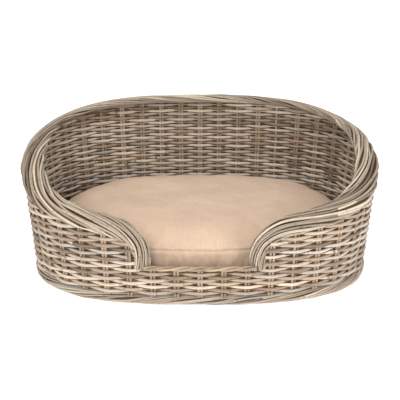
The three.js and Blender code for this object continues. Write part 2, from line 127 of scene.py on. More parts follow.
UNDER_LAY = 1.3  # the under layer winds faster than the outer one, so that the two cross
FOOT_STATIONS, FOOT_STRANDS, FOOT_CANE, FOOT_TURNS = 480, 12, 2.5, 5
FOOT_CLEAR = 1.0  # keeps the foot's uneven strands off the floor
STRAND_DRIFT, STRAND_LIFT = 0.46, 0.085  # how far a strand wanders round the section, and out of it
PIECES_PER_STRAND = 5.0
WEAVER_SIZES, STAKE_SIZES, STRAND_SIZES = (0.93, 1.06), (0.93, 1.07), (0.86, 1.14)
BASE_PITCH, BASE_ROWS, BASE_SWING, BASE_CLEAR = 8.2, 24, 6.6, 2.5


def unit(v):
    return v / np.maximum(np.linalg.norm(v, axis=-1, keepdims=True), 1e-9)


class Oblong:
    """A plan of |x / a| ^ power + |y / b| ^ power = 1.

    s is the distance round it from the middle of the entry."""

    def __init__(self, half_length, half_depth, power, shift_y):
        self.half = half_length, half_depth
        self.power = power
        self.shift_y = shift_y
        self.turns = np.linspace(0, 2 * np.pi, 2881)
        x, y = self.edge(self.turns)
        self.distances = np.concatenate([[0], np.cumsum(np.hypot(np.diff(x), np.diff(y)))])
        self.length = self.distances[-1]

    def edge(self, turn):
        x, y = np.sin(turn), -np.cos(turn)
        a, b = self.half
        size = (np.abs(x / a) ** self.power + np.abs(y / b) ** self.power) ** (-1 / self.power)
        return x * size, y * size

    def at(self, s, offset=0.0):
        """Points at s moved out by offset, and the outward normals there."""
        s, offset = np.broadcast_arrays(np.asarray(s, float), offset)
        x, y = self.edge(np.interp(s % self.length, self.distances, self.turns))
        a, b = self.half
        nx = np.sign(x) * np.abs(x / a) ** (self.power - 1) / a
        ny = np.sign(y) * np.abs(y / b) ** (self.power - 1) / b
        normals = unit(np.stack([nx, ny, np.zeros_like(x)], -1))
        points = np.stack([x, y + self.shift_y, np.zeros_like(x)], -1) + normals * offset[..., None]
        return points, normals


class Oval:
    """A plan of two long side arcs and two end arcs.

    s is the distance round it from the middle of the entry."""

    def __init__(self, half_length, half_depth, end_radius, shift_y):
        self.inset = half_length - end_radius
        self.end_radius = end_radius
        self.shift_y = shift_y
        across = self.inset**2 + half_depth**2 - end_radius**2
        self.side_radius = across / (2 * (half_depth - end_radius))
        self.drop = self.side_radius - half_depth
        self.turn = math.atan2(self.inset, self.drop)
        self.side_length = self.turn * self.side_radius
        self.quarter = self.side_length + (math.pi / 2 - self.turn) * end_radius
        self.length = 4 * self.quarter

    def at(self, s, offset=0.0):
        """Points at s moved out by offset, and the outward normals there."""
        s, offset = np.broadcast_arrays(np.asarray(s, float), offset)
        rounded = s % self.length
        right = rounded < self.length / 2
        half = np.where(right, rounded, self.length - rounded)
        front = half < self.quarter
        w = np.where(front, half, 2 * self.quarter - half)
        on_side = w < self.side_length
        end_angle = self.turn + (w - self.side_length) / self.end_radius
        angle = np.where(on_side, w / self.side_radius, end_angle)
        radius = np.where(on_side, self.side_radius, self.end_radius) + offset
        sx = np.where(right, 1.0, -1.0)
        sy = np.where(front, -1.0, 1.0)
        x = np.where(on_side, 0.0, self.inset) + radius * np.sin(angle)
        y = np.where(on_side, -self.drop, 0.0) + radius * np.cos(angle)
        points = np.stack([sx * x, sy * y + self.shift_y, np.zeros_like(x)], -1)
        normals = np.stack([sx * np.sin(angle), sy * np.cos(angle), np.zeros_like(x)], -1)
        return points, normals


wall = Oblong(WALL_HALF_LENGTH, WALL_HALF_DEPTH, WALL_POWER, SHIFT_Y / MM)
pitch = wall.length / PAIRS
UP = np.array([0.0, 0.0, 1.0])


def on_wall(s, offset, z):
    """Points of the leaning wall at s and height z, moved out by offset, and the outward normals there."""
    points, normals = wall.at(s, offset + np.interp(z, FLARE_Z, FLARE_OUT))
    points[..., 2] = z
    return points, normals


def drift(count, size, every):
    """A smooth random line of count numbers, up to about size, that changes every so many numbers."""
    knots = rng.normal(0, size * 0.6, max(4, count // max(1, int(every)) + 4))
    at = np.linspace(0, len(knots) - 1.001, count)
    i = at.astype(int)
    t = at - i
    t = t * t * (3 - 2 * t)
    return knots[i] * (1 - t) + knots[i + 1] * t


# ---- Meshes of many canes -----------------------------------------------------------------------
class Bundle:
    """Collects canes, each a round or oval bar along a line, into one mesh.

    Each vertex stores two vectors for the material: lay holds two random numbers of the cane and the
    distance along it, and skin is the direction from the cane's middle line."""

    def __init__(self):
        self.parts = []

    def cane(self, line, across, wide, thick, sides=8):
        """line is in mm. wide is the radius along the direction across, and thick the other radius."""
        along = unit(np.gradient(line, axis=0))
        across = unit(across - along * np.sum(across * along, -1, keepdims=True))
        other = np.cross(along, across)
        angles = np.arange(sides) / sides * 2 * np.pi
        ring_x, ring_y = np.cos(angles), np.sin(angles)
        count = len(line)
        wide = np.broadcast_to(wide, count)[:, None, None]
        thick = np.broadcast_to(thick, count)[:, None, None]
        out = across[:, None] * ring_x[None, :, None] * wide
        out = out + other[:, None] * ring_y[None, :, None] * thick
        distance = np.concatenate([[0], np.cumsum(np.linalg.norm(np.diff(line, axis=0), axis=1))])
        seeds = np.broadcast_to(rng.random((1, 2)), (count, 2))
        lay = np.concatenate([seeds, distance[:, None] * MM], 1)
        skin = np.broadcast_to(np.stack([ring_x, ring_y, 0 * ring_x], -1)[None], (count, sides, 3))
        self.parts.append((
            ((line[:, None] + out) * MM).reshape(-1, 3),
            np.repeat(lay, sides, 0),
            skin.reshape(-1, 3),
            count,
            sides,
        ))

    def mesh(self, name, material, body, slot, *nodes):
        """Makes the piece from all the canes, with closed ends."""
        positions, lays, skins, quads, caps = [], [], [], [], []
        base = 0
        for points, lay, skin, count, sides in self.parts:
            grid = base + np.arange(count * sides).reshape(count, sides)
            nxt = np.roll(grid, -1, 1)
            quads.append(np.stack([grid[:-1], nxt[:-1], nxt[1:], grid[1:]], -1).reshape(-1, 4))
            caps += [grid[0][::-1], grid[-1]]
            positions.append(points)
            lays.append(lay)
            skins.append(skin)
            base += count * sides
        quads = np.concatenate(quads)
        me = bpy.data.meshes.new(name)
        me.vertices.add(base)
        me.vertices.foreach_set("co", np.concatenate(positions).astype(np.float32).ravel())
        totals = np.concatenate([np.full(len(quads), 4), [len(c) for c in caps]]).astype(np.int32)
        corners = np.concatenate([quads.ravel(), np.concatenate(caps)]).astype(np.int32)
        me.loops.add(len(corners))
        me.loops.foreach_set("vertex_index", corners)
        me.polygons.add(len(totals))
        starts = np.concatenate([[0], np.cumsum(totals)[:-1]]).astype(np.int32)
        me.polygons.foreach_set("loop_start", starts)
        me.update(calc_edges=True)
        me.polygons.foreach_set("use_smooth", np.ones(len(totals), bool))
        for key, values in (("lay", lays), ("skin", skins)):
            attribute = me.attributes.new(key, "FLOAT_VECTOR", "POINT")
            attribute.data.foreach_set("vector", np.concatenate(values).astype(np.float32).ravel())
        me.validate()
        place(bpy.data.objects.new(name, me), material, body, slot, *nodes)


def lengths(count, chance, overlap, least):
    """Cuts a line of count stations where one cane ends and the next begins: the slice that each covers."""
    joints = np.cumsum(rng.random(count) < chance)
    for part in range(joints[-1] + 1):
        inside = np.flatnonzero(joints == part)
        if len(inside) >= least:
            yield slice(max(0, inside[0] - overlap), inside[-1] + 1)


def place(piece, material, body, slot, *nodes):
    """Links a piece, and says what it is made of, what it moves with, and which CAD nodes it stands for."""
    if piece.name not in scene.collection.objects:
        scene.collection.objects.link(piece)
    piece.data.materials.clear()
    piece.data.materials.append(material)
    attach(piece, body)
    if nodes:
        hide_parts(*nodes)
    return piece


def apply_modifiers(piece):
    graph = bpy.context.evaluated_depsgraph_get()
    made = bpy.data.meshes.new_from_object(piece.evaluated_get(graph))
    piece.modifiers.clear()
    old = piece.data
    piece.data = made
    bpy.data.meshes.remove(old)


# ---- Materials ----------------------------------------------------------------------------------
def srgb(r, g, b):
    """A colour given as 0 to 255 values on screen."""
    return tuple(((c / 255 + 0.055) / 1.055) ** 2.4 if c > 10 else c / 255 / 12.92 for c in (r, g, b))


def grey(value):
    return value, value, value


class Surface:
    """A new material, and the steps that the materials below are made with."""

    def __init__(self, name):
        self.material = bpy.data.materials.new(name)
        self.material.use_nodes = True
        self.nodes = self.material.node_tree.nodes
        self.links = self.material.node_tree.links
        self.shader = self.nodes["Principled BSDF"]

    def give(self, socket, value):
        """Sets a socket to a number or a colour, or links another node's output to it."""
        if isinstance(value, (int, float)):
            socket.default_value = value
        elif isinstance(value, tuple):
            socket.default_value = (*value, 1)
        else:
            self.links.new(value, socket)

    def node(self, kind, *values, **settings):
        """A new node with these settings, whose first inputs are given these values."""
        node = self.nodes.new("ShaderNode" + kind)
        for key, setting in settings.items():
            setattr(node, key, setting)
        for socket, value in zip(node.inputs, values):
            self.give(socket, value)
        return node

    def attribute(self, name):
        """The three numbers of a vector that the mesh stores at its vertices, and the vector itself."""
        vector = self.node("Attribute", attribute_name=name).outputs["Vector"]
        return *self.node("SeparateXYZ", vector).outputs, vector

    def maths(self, operation, *values):
        return self.node("Math", *values, operation=operation).outputs[0]

    def noise(self, vector, scale=1.0, detail=4, roughness=0.55):
        node = self.node("TexNoise", vector)
        node.inputs["Scale"].default_value = scale
        node.inputs["Detail"].default_value = detail
        node.inputs["Roughness"].default_value = roughness
        return node.outputs["Fac"]

    def scaled(self, vector, scale):
        """A vector, with its three numbers multiplied by those of scale."""
        node = self.node("Mapping", vector)
        node.inputs["Scale"].default_value = scale
        return node.outputs[0]

    def ramp(self, value, *stops):
        """A colour that follows value through stops of position and colour."""
        node = self.node("ValToRGB", value)
        while len(node.color_ramp.elements) < len(stops):
            node.color_ramp.elements.new(1)
        for element, (position, color) in zip(node.color_ramp.elements, stops):
            element.position = position
            element.color = (*color, 1)
        return node.outputs[0]

    def blend(self, kind, share, a, b):
        node = self.node("Mix", data_type="RGBA", blend_type=kind)
        for socket, value in ((node.inputs["Factor"], share), (node.inputs[6], a), (node.inputs[7], b)):
            self.give(socket, value)
        return node.outputs[2]

    def roughen(self, value, low, high):
        """Makes the roughness go from low to high as value goes from 0 to 1."""
        node = self.node("MapRange", value)
        node.inputs["To Min"].default_value = low
        node.inputs["To Max"].default_value = high
        self.links.new(node.outputs[0], self.shader.inputs["Roughness"])

    def bump(self, height, strength, distance):
        node = self.node("Bump")
        node.inputs["Strength"].default_value = strength
        node.inputs["Distance"].default_value = distance
        self.links.new(height, node.inputs["Height"])
        self.links.new(node.outputs[0], self.shader.inputs["Normal"])


PALE_FIBRE = srgb(222, 212, 196)
JOINTS_PER_METRE = 4.3
JOINT_HALF_SHARE = 0.0055  # half a joint's ring, as a share of the way to the next


def cane_material(name, palette, streak=0.55, worn=0.34, shine=0.35):
    """Weathered rattan: a colour for each cane, with long streaks, specks, pale worn fibres and joints."""
    surface = Surface(name)
    maths = surface.maths
    hue, shade, distance, _ = surface.attribute("lay")
    skin_x, skin_y, _, _ = surface.attribute("skin")
    far_along = maths("MULTIPLY", hue, 431.0)
    far_across = maths("MULTIPLY", shade, 277.0)

    def cane_noise(stretch, girth, **settings):
        """Noise in coordinates that run along the cane, far apart from those of every other cane."""
        along = maths("MULTIPLY_ADD", distance, stretch, far_along)
        across = maths("MULTIPLY_ADD", skin_x, girth, far_across)
        space = surface.node("CombineXYZ", along, across, maths("MULTIPLY", skin_y, girth))
        return surface.noise(space.outputs[0], **settings)

    patches = cane_noise(15, 1.1, detail=3)
    streaks = cane_noise(40, 3.2, scale=1.6, detail=5, roughness=0.7)
    fibres = cane_noise(60, 9, detail=3, roughness=0.6)
    specks = cane_noise(900, 6, detail=2, roughness=0.5)

    own_tone = maths("MULTIPLY_ADD", hue, 0.9, -0.22)
    color = surface.ramp(maths("MULTIPLY_ADD", patches, 0.5, own_tone), *palette)
    lightness = surface.ramp(shade, (0.0, grey(0.6)), (0.5, grey(0.88)), (1.0, grey(1.1)))
    color = surface.blend("MULTIPLY", 1.0, color, lightness)
    dark = surface.ramp(streaks, (0.36, (0.42, 0.37, 0.33)), (0.56, grey(1)))
    color = surface.blend("MULTIPLY", streak, color, dark)
    pale = surface.ramp(fibres, (0.52, grey(0)), (0.72, grey(1)))
    color = surface.blend("MIX", maths("MULTIPLY", pale, worn), color, PALE_FIBRE)
    dots = surface.ramp(specks, (0.30, (0.3, 0.25, 0.2)), (0.36, grey(1)))
    color = surface.blend("MULTIPLY", 0.5, color, dots)

    # Joints of the cane: dark rings, far apart.
    own_start = maths("MULTIPLY", shade, 17.0)
    ring_place = maths("FRACT", maths("MULTIPLY_ADD", distance, JOINTS_PER_METRE, own_start))
    ring_distance = maths("ABSOLUTE", maths("SUBTRACT", ring_place, 0.5))
    ring = maths("LESS_THAN", ring_distance, JOINT_HALF_SHARE)
    color = surface.blend("MULTIPLY", maths("MULTIPLY", ring, 0.5), color, (0.25, 0.2, 0.16))
    surface.links.new(color, surface.shader.inputs["Base Color"])

    surface.roughen(streaks, 0.5, 0.85)
    surface.shader.inputs["Specular IOR Level"].default_value = shine
    height = maths("ADD", maths("MULTIPLY", streaks, 0.6), maths("MULTIPLY", fibres, 0.5))
    surface.bump(maths("ADD", height, maths("MULTIPLY", ring, 0.5)), 0.55, 0.0006)
    return surface.material


GREY_PALETTE = [
    (0.0, srgb(130, 110, 92)), (0.18, srgb(184, 160, 137)), (0.36, srgb(180, 165, 148)),
    (0.52, srgb(210, 197, 180)), (0.68, srgb(188, 178, 168)), (0.84, srgb(216, 201, 178)),
    (1.0, srgb(170, 146, 130)),
]
BORDER_PALETTE = [
    (0.0, srgb(116, 98, 80)), (0.2, srgb(188, 169, 146)), (0.4, srgb(152, 136, 120)),
    (0.6, srgb(212, 198, 175)), (0.8, srgb(164, 149, 135)), (1.0, srgb(202, 184, 156)),
]
BROWN_PALETTE = [
    (0.0, srgb(128, 106, 86)), (0.3, srgb(174, 149, 121)), (0.6, srgb(188, 165, 136)),
    (1.0, srgb(154, 131, 110)),
]
PEELED_PALETTE = [(0.0, srgb(150, 118, 82)), (1.0, srgb(190, 158, 116))]
# A dark palette for painted shade. The borders' cores, the rim's under layer and the thin canes between the
# rounds take it, so the gaps between canes read as shade.
GAP_SHADE_PALETTE = [(0.0, srgb(74, 54, 38)), (1.0, srgb(116, 90, 66))]
grey_rattan = cane_material("weathered_rattan", GREY_PALETTE)
border_rattan = cane_material("border_rattan", BORDER_PALETTE, streak=0.5)
brown_rattan = cane_material("stake_rattan", BROWN_PALETTE, streak=0.5)
pole_rattan = cane_material("peeled_pole", PEELED_PALETTE, streak=0.6)
gap_shade_rattan = cane_material("painted_gap_shade", GAP_SHADE_PALETTE, streak=0.6, worn=0.05, shine=0.1)


def plain_material(name, low_color, high_color, roughness, scale, bump_size, metallic=0.0,
                   stretch=(1, 1, 1)):
    """Two close tones in cloudy patches, with finer grain in the tone, the shine and the surface."""
    surface = Surface(name)
    space = surface.scaled(surface.node("TexCoord").outputs["Object"], stretch)
    cloud = surface.noise(space, scale)
    grain = surface.noise(space, scale * 9, 5, 0.65)
    both = surface.maths("MULTIPLY_ADD", cloud, 0.65, surface.maths("MULTIPLY", grain, 0.35))
    tone = surface.ramp(both, (0.35, low_color), (0.65, high_color))
    surface.links.new(tone, surface.shader.inputs["Base Color"])
    surface.roughen(grain, *roughness)
    surface.shader.inputs["Metallic"].default_value = metallic
    surface.bump(grain, 0.5, bump_size)
    return surface.material


# ---- The rim's line -----------------------------------------------------------------------------
def catmull_rom(points, per_span):
    """A smooth line through the points, with per_span stations from each to the next."""
    points = np.asarray(points, float)
    padded = np.concatenate([points[:1], points, points[-1:]])
    t = (np.arange(per_span) / per_span)[:, None]
    spans = []
    for p0, p1, p2, p3 in zip(padded, padded[1:], padded[2:], padded[3:]):
        v0, v1 = (p2 - p0) / 2, (p3 - p1) / 2
        cubic = 2 * p1 - 2 * p2 + v0 + v1
        square = -3 * p1 + 3 * p2 - 2 * v0 - v1
        spans.append(cubic * t**3 + square * t**2 + v0 * t + p1)
    return np.concatenate([*spans, points[-1:]])


def resample(line, count):
    """A line at count even stations, and its length."""
    distance = np.concatenate([[0], np.cumsum(np.linalg.norm(np.diff(line, axis=0), axis=1))])
    at = np.linspace(0, distance[-1], count)
    return np.stack([np.interp(at, distance, line[:, i]) for i in range(line.shape[1])], -1), distance[-1]


def smoothstep(x, low, high):
    t = np.clip((x - low) / (high - low), 0, 1)
    return t * t * (3 - 2 * t)


far_half = [(wall.length - s, z) for s, z in RIM_HALF[::-1]]
rim_points = [*RIM_HALF, (wall.length / 2, RIM_BACK_Z), *far_half]
rim_line, rim_length = resample(catmull_rom(rim_points, 30), RIM_STATIONS)
rim_tangent = unit(np.gradient(rim_line, axis=0))
rim_away = np.stack([-rim_tangent[:, 1], rim_tangent[:, 0]], -1)
rim_at = np.linspace(0, rim_length, RIM_STATIONS)
from_end = np.minimum(rim_at, rim_length - rim_at)
turned = smoothstep(from_end, *LEG_TO_SIDE)
behind = smoothstep(from_end, *SIDE_TO_BACK)
side_and_back = SIDE_HALF_WIDTH + (BACK_HALF_WIDTH - SIDE_HALF_WIDTH) * behind
rim_half_width = LEG_HALF_WIDTH + (side_and_back - LEG_HALF_WIDTH) * turned
rim_roll = np.radians(LEG_ROLL + (SIDE_ROLL - LEG_ROLL) * turned)
rim_offset = LEG_OFFSET + (SIDE_OFFSET - LEG_OFFSET) * turned

rim_middle, rim_normal = on_wall(rim_line[:, 0], rim_offset, rim_line[:, 1])
rim_along = np.stack([-rim_normal[:, 1], rim_normal[:, 0], 0 * rim_normal[:, 0]], -1)
rim_off = rim_along * rim_away[:, :1] + UP * rim_away[:, 1:]
rim_wide = rim_normal * np.cos(rim_roll)[:, None] - rim_off * np.sin(rim_roll)[:, None]
rim_thick = rim_normal * np.sin(rim_roll)[:, None] + rim_off * np.cos(rim_roll)[:, None]

rim_reach = np.hypot(rim_half_width * np.sin(rim_roll), RIM_HALF_THICK * np.cos(rim_roll))
UNDER_RIM = rim_line - rim_away * rim_reach[:, None]


def weave_top(s):
    """The height where the border's underside crosses s."""
    s = s % wall.length
    s = min(s, wall.length - s)
    a, b = UNDER_RIM[:-1], UNDER_RIM[1:]
    hit = (a[:, 0] - s) * (b[:, 0] - s) <= 0
    if not hit.any():
        return float(LOWER_TOP)
    share = (s - a[hit, 0]) / np.where(b[hit, 0] == a[hit, 0], 1, b[hit, 0] - a[hit, 0])
    return float(np.min(a[hit, 1] + share * (b[hit, 1] - a[hit, 1])))


LEG_MIDDLE = RIM_HALF[0][0]
top_s = np.linspace(LEG_MIDDLE + 12, wall.length / 2, 300)
top_z = np.maximum.accumulate(np.array([weave_top(s) for s in top_s]))


def oval_angles(fractions, wide, thick):
    """Angles round an oval that split its edge into the given shares."""
    table = np.linspace(0, 2 * np.pi, 721)
    edge = np.hypot(np.diff(wide * np.cos(table)), np.diff(thick * np.sin(table)))
    edge = np.concatenate([[0], np.cumsum(edge)])
    turns = np.floor(fractions)
    return np.interp(fractions - turns, edge / edge[-1], table) + turns * 2 * np.pi


def wound_strands(bundle, section, lay, strands, radius, fill, closed=False):
    """Canes wound round an oval section: its middle, its two axes and its two half sizes at each station.

    lay is the turns made by each station, and fill the most of its room that a cane's radius takes."""
    middle, wide_axis, thick_axis, half_wide, half_thick = section
    count = len(middle)
    half_wide = np.broadcast_to(half_wide, count)
    fade = 1.0 if not closed else np.sin(np.linspace(0, np.pi, count)) ** 0.25
    for k in range(strands):
        a = half_wide - radius
        b = half_thick - radius
        room = 2 * np.pi * np.sqrt((a * a + b * b) / 2) / strands
        size = np.minimum(radius, room * fill) * rng.uniform(*STRAND_SIZES)
        wander = drift(count, STRAND_DRIFT / strands, 16) * fade
        angle = oval_angles(k / strands + lay + wander, np.mean(a), b)
        lift = 1 + drift(count, STRAND_LIFT, 12) * fade
        cos, sin = np.cos(angle), np.sin(angle)
        line = middle + wide_axis * (a * cos * lift)[:, None] + thick_axis * (b * sin * lift)[:, None]
        out = wide_axis * (cos / a)[:, None] + thick_axis * (sin / b)[:, None]
        size = size * (1 + drift(count, 0.06, 22) * fade)
        for reach in lengths(count, PIECES_PER_STRAND / count, 1, 3):
            bundle.cane(line[reach], out[reach], size[reach], size[reach])


# ---- The rim border -----------------------------------------------------------------------------
rim_lay = -rim_at / RIM_TURN
rim_bundle = Bundle()
rim_section = rim_middle, rim_wide, rim_thick, rim_half_width, RIM_HALF_THICK
wound_strands(rim_bundle, rim_section, rim_lay, RIM_STRANDS, RIM_CANE, RIM_FILL)
rim_bundle.mesh("rim_border_canes", border_rattan, "basket", "border_cane", "rim_border")

# Under them, a pole with a layer of strands that is seen through the gaps, both painted dark: painted shade
# in the gaps between the outer strands.
core = Bundle()
pole_half_width = rim_half_width[::3] - 2 * RIM_CANE - 1.2
core.cane(rim_middle[::3], rim_wide[::3], pole_half_width, RIM_HALF_THICK - 2 * RIM_CANE - 0.8, sides=16)
under_section = rim_middle, rim_wide, rim_thick, rim_half_width - RIM_UNDER, RIM_HALF_THICK - RIM_UNDER
wound_strands(core, under_section, UNDER_LAY * rim_lay, RIM_STRANDS - 2, RIM_CANE, UNDER_FILL)
core.mesh("rim_border_core", gap_shade_rattan, "basket", "peeled_pole", "rim_pole")

# ---- The foot border ----------------------------------------------------------------------------
foot_s = wall.length / 2 + np.linspace(0, wall.length, FOOT_STATIONS)
foot_middle, foot_normal = wall.at(foot_s, FOOT_OFFSET)
foot_middle[:, 2] = FOOT_HALF_HEIGHT
foot_up = np.broadcast_to(UP, foot_normal.shape)
foot_section = foot_middle, foot_normal, foot_up, FOOT_HALF_WIDTH, FOOT_HALF_HEIGHT - FOOT_CLEAR
foot_lay = foot_s / wall.length * FOOT_TURNS
foot_bundle = Bundle()
wound_strands(foot_bundle, foot_section, foot_lay, FOOT_STRANDS, FOOT_CANE, FOOT_FILL, closed=True)
# The foot's canes take the weave's lighter palette rather than the rim border's: painted light that lifts
# the foot out of the shade under it.
foot_bundle.mesh("foot_border_canes", grey_rattan, "basket", "border_cane", "foot_border")

# The foot's core is painted dark: painted shade seen through the gaps between the foot's strands.
CORE_INSET = 5.8
foot_core = Bundle()
foot_core.cane(foot_middle[::4], foot_normal[::4], FOOT_HALF_WIDTH - CORE_INSET,
               FOOT_HALF_HEIGHT - CORE_INSET, sides=16)
foot_core.mesh("foot_border_core", gap_shade_rattan, "basket", "border_cane")

hoop_middle, hoop_normal = wall.at(foot_s[::4], HOOP_OFFSET)
hoop_middle[:, 2] = HOOP_Z
hoop = Bundle()
hoop.cane(hoop_middle, hoop_normal, HOOP_RADIUS, HOOP_RADIUS, sides=16)
hoop.mesh("base_hoop_pole", pole_rattan, "basket", "peeled_pole", "base_hoop")


# ---- The woven wall -----------------------------------------------------------------------------
def weaver_row(bundle, row, z, from_s, to_s):
    """One round of weaving at height z: outside every second pair of stakes, inside the others."""
    count = max(8, int((to_s - from_s) / pitch * STEPS_PER_PAIR))
    s = np.linspace(from_s, to_s, count)
    turn = s / pitch + row
    swing = np.clip(np.arcsin(np.cos(np.pi * turn)) / (0.5 * np.pi) * SWING_FLATNESS, -1, 1)
    swing = swing * (1.12 - 0.12 * swing**2)
    heights = z + drift(count, *WEAVER_WANDER) + drift(count, *WEAVER_JITTER)
    line, normal = on_wall(s, WEAVE_SWING * swing + drift(count, 0.4, 9), heights)
    size = rng.uniform(*WEAVER_SIZES) * (1 + drift(count, 0.08, 12))
    tall = WEAVER_HALF_HEIGHT * size * (1 + 0.06 * swing**2)
    thick = WEAVER_HALF_THICK * size
    for reach in lengths(count, WEAVERS_PER_ROUND / (PAIRS * STEPS_PER_PAIR), 3, 4):
        bundle.cane(line[reach], normal[reach], thick[reach], tall[reach])


def shade_filler_row(bundle, z, from_s, to_s):
    """A thin cane between two rounds in the middle of the weave, so that no light comes through; its dark
    colour is painted shade.
    """
    s = np.linspace(from_s, to_s, max(8, int((to_s - from_s) / 9)))
    line, normal = on_wall(s, 0.0, z + drift(len(s), 0.4, 8))
    bundle.cane(line, normal, SHADE_FILLER_HALF_THICK, SHADE_FILLER_HALF_HEIGHT, sides=6)


row_z = np.arange(FIRST_ROW_Z, LAST_ROW_Z, ROW_PITCH)
below = row_z < LOWER_TOP
above = row_z >= MIDDLE_TOP
tiers = [("lower_weavers", "lower_weave", row_z[below]),
         ("middle_weavers", "middle_weave", row_z[~below & ~above]),
         ("upper_weavers", "upper_weave", row_z[above])]
# Thin canes between the rounds, painted dark as painted shade in the gaps of the weave.
shade_fillers = Bundle()
for name, node, heights in tiers:
    bundle = Bundle()
    for z in heights:
        row = int(round((z - row_z[0]) / ROW_PITCH))
        if z < LOWER_TOP:
            start = wall.length / 2 + pitch * rng.integers(-6, 6)
            weaver_row(bundle, row, z, start, start + wall.length)
            shade_filler_row(shade_fillers, z + ROW_PITCH / 2, start, start + wall.length)
        else:
            reached = top_s[top_z > z - TUCK_UP]
            if len(reached):
                first = max(reached[0] - TUCK_IN, LEG_MIDDLE - 4)
                weaver_row(bundle, row, z, first, wall.length - first)
                shade_filler_row(shade_fillers, z + ROW_PITCH / 2, first, wall.length - first)
    bundle.mesh(name, grey_rattan, "basket", "grey_rattan", node)
shade_fillers.mesh("packing_canes", gap_shade_rattan, "basket", "grey_rattan")


# ---- The stakes ---------------------------------------------------------------------------------
CROSSINGS = range(-CROSSING_PAIRS, CROSSING_PAIRS + 1)


def wall_side(pair, out):
    """The middle of a pair, from under the floor up to the border, and the direction along the wall."""
    s = pair * pitch
    near = abs(s - wall.length * round(s / wall.length))
    top = weave_top(near) + STAKE_INTO_BORDER if near > LEG_MIDDLE + 10 else LOWER_TOP + 3
    heights = np.concatenate([[CROSSING_Z + 6], np.arange(CROSSING_Z + 16, top - 6, 12), [top]])
    points, normals = on_wall(np.full(len(heights), s), 0.0, heights)
    foot = points[0].copy()
    foot[2] = CROSSING_Z
    inner = [foot - out * TOE, foot - out * 8, foot - out * 2 + UP * 1.6]
    line = np.concatenate([inner, points])
    normal = normals[0]
    along = np.array([-normal[1], normal[0], 0.0])
    return line, along


for i in CROSSINGS:
    bundle = Bundle()
    front, front_along = wall_side(i, np.array([0.0, -1.0, 0.0]))
    back, back_along = wall_side(PAIRS / 2 - i, np.array([0.0, 1.0, 0.0]))
    whole = np.concatenate([back[::-1], front])
    across = np.concatenate([np.tile(-back_along, (len(back), 1)), np.tile(front_along, (len(front), 1))])
    for sign in (-1, 1):
        smooth, _ = resample(catmull_rom(whole + across * sign * STAKE_APART / 2, 6), CROSSING_STATIONS)
        smooth[:, 0] += drift(CROSSING_STATIONS, 0.35, 8)
        radius = STAKE_RADIUS * rng.uniform(*STAKE_SIZES) * (1 + drift(CROSSING_STATIONS, 0.04, 8))
        bundle.cane(smooth, np.tile([1.0, 0.0, 0.0], (CROSSING_STATIONS, 1)), radius, radius)
    node = f"crossing_stakes_{i + CROSSING_PAIRS + 1:02d}"
    bundle.mesh(node + "_canes", brown_rattan, "basket", "brown_cane", node)

for side, turn in (("right", 1), ("left", -1)):
    for number in range(1, PAIRS // 2 - 2 * CROSSING_PAIRS):
        pair = turn * (CROSSING_PAIRS + number)
        out = wall.at(pair * pitch)[1]
        bundle = Bundle()
        line, along = wall_side(pair, out)
        for sign in (-1, 1):
            smooth, _ = resample(catmull_rom(line + along * sign * STAKE_APART / 2, 6), END_STATIONS)
            radius = STAKE_RADIUS * rng.uniform(*STAKE_SIZES) * (1 + drift(END_STATIONS, 0.04, 8))
            smooth += np.outer(drift(END_STATIONS, 0.35, 8), along)
            bundle.cane(smooth, np.tile(along, (END_STATIONS, 1)), radius, radius)
        node = f"{side}_end_stakes_{number:02d}"
        bundle.mesh(node + "_canes", brown_rattan, "basket", "brown_cane", node)

# ---- The entry's edge ---------------------------------------------------------------------------
edge = Bundle()
EDGE_STATIONS, EDGE_STRANDS = 90, 3
EDGE_SWING_OUT, EDGE_SWING_UP = 5.5, 2.6
edge_s = np.linspace(-ENTRY_EDGE_END - 16, ENTRY_EDGE_END + 16, EDGE_STATIONS)
for k in range(EDGE_STRANDS):
    phase = np.pi * edge_s / pitch + k * 2 * np.pi / EDGE_STRANDS
    height = ENTRY_EDGE_Z + EDGE_SWING_UP * np.sin(phase) + drift(EDGE_STATIONS, 0.5, 12)
    line, normal = on_wall(edge_s, EDGE_SWING_OUT * np.cos(phase), height)
    edge.cane(line, normal, 2.7, 2.9)
edge.mesh("entry_edge_twine", brown_rattan, "basket", "brown_cane", "entry_edge")

# ---- The woven base -----------------------------------------------------------------------------
base = Bundle()
crossing_x = np.array([on_wall(i * pitch, 0.0, CROSSING_Z)[0][0] for i in CROSSINGS])
outline, _ = wall.at(np.linspace(0, wall.length, 721), HOOP_OFFSET - HOOP_RADIUS - BASE_CLEAR)
phase_x = np.concatenate([[crossing_x[0] - 90], crossing_x, [crossing_x[-1] + 90]])
phase_n = np.concatenate([[-2.0], np.arange(len(crossing_x)), [len(crossing_x) + 1.0]])
for row in range(-BASE_ROWS, BASE_ROWS + 1):
    y = row * BASE_PITCH + SHIFT_Y / MM
    low, high = outline[:-1, 1], outline[1:, 1]
    crosses = (low - y) * (high - y) <= 0
    xs = outline[:-1, 0][crosses]
    if not len(xs) or xs.max() - xs.min() < 60:
        continue
    count = int((xs.max() - xs.min()) / 5)
    x = np.linspace(xs.min(), xs.max(), count)
    swing = np.cos(np.pi * (np.interp(x, phase_x, phase_n) + row))
    height = CROSSING_Z + BASE_SWING * np.clip(swing * 1.15, -1, 1)
    line = np.stack([x, y + drift(count, 0.4, 10), height], -1)
    base.cane(line, np.tile(UP, (count, 1)), 3.3, 3.8, sides=7)
base.mesh("base_weavers", grey_rattan, "basket", "grey_rattan", "base_weave")

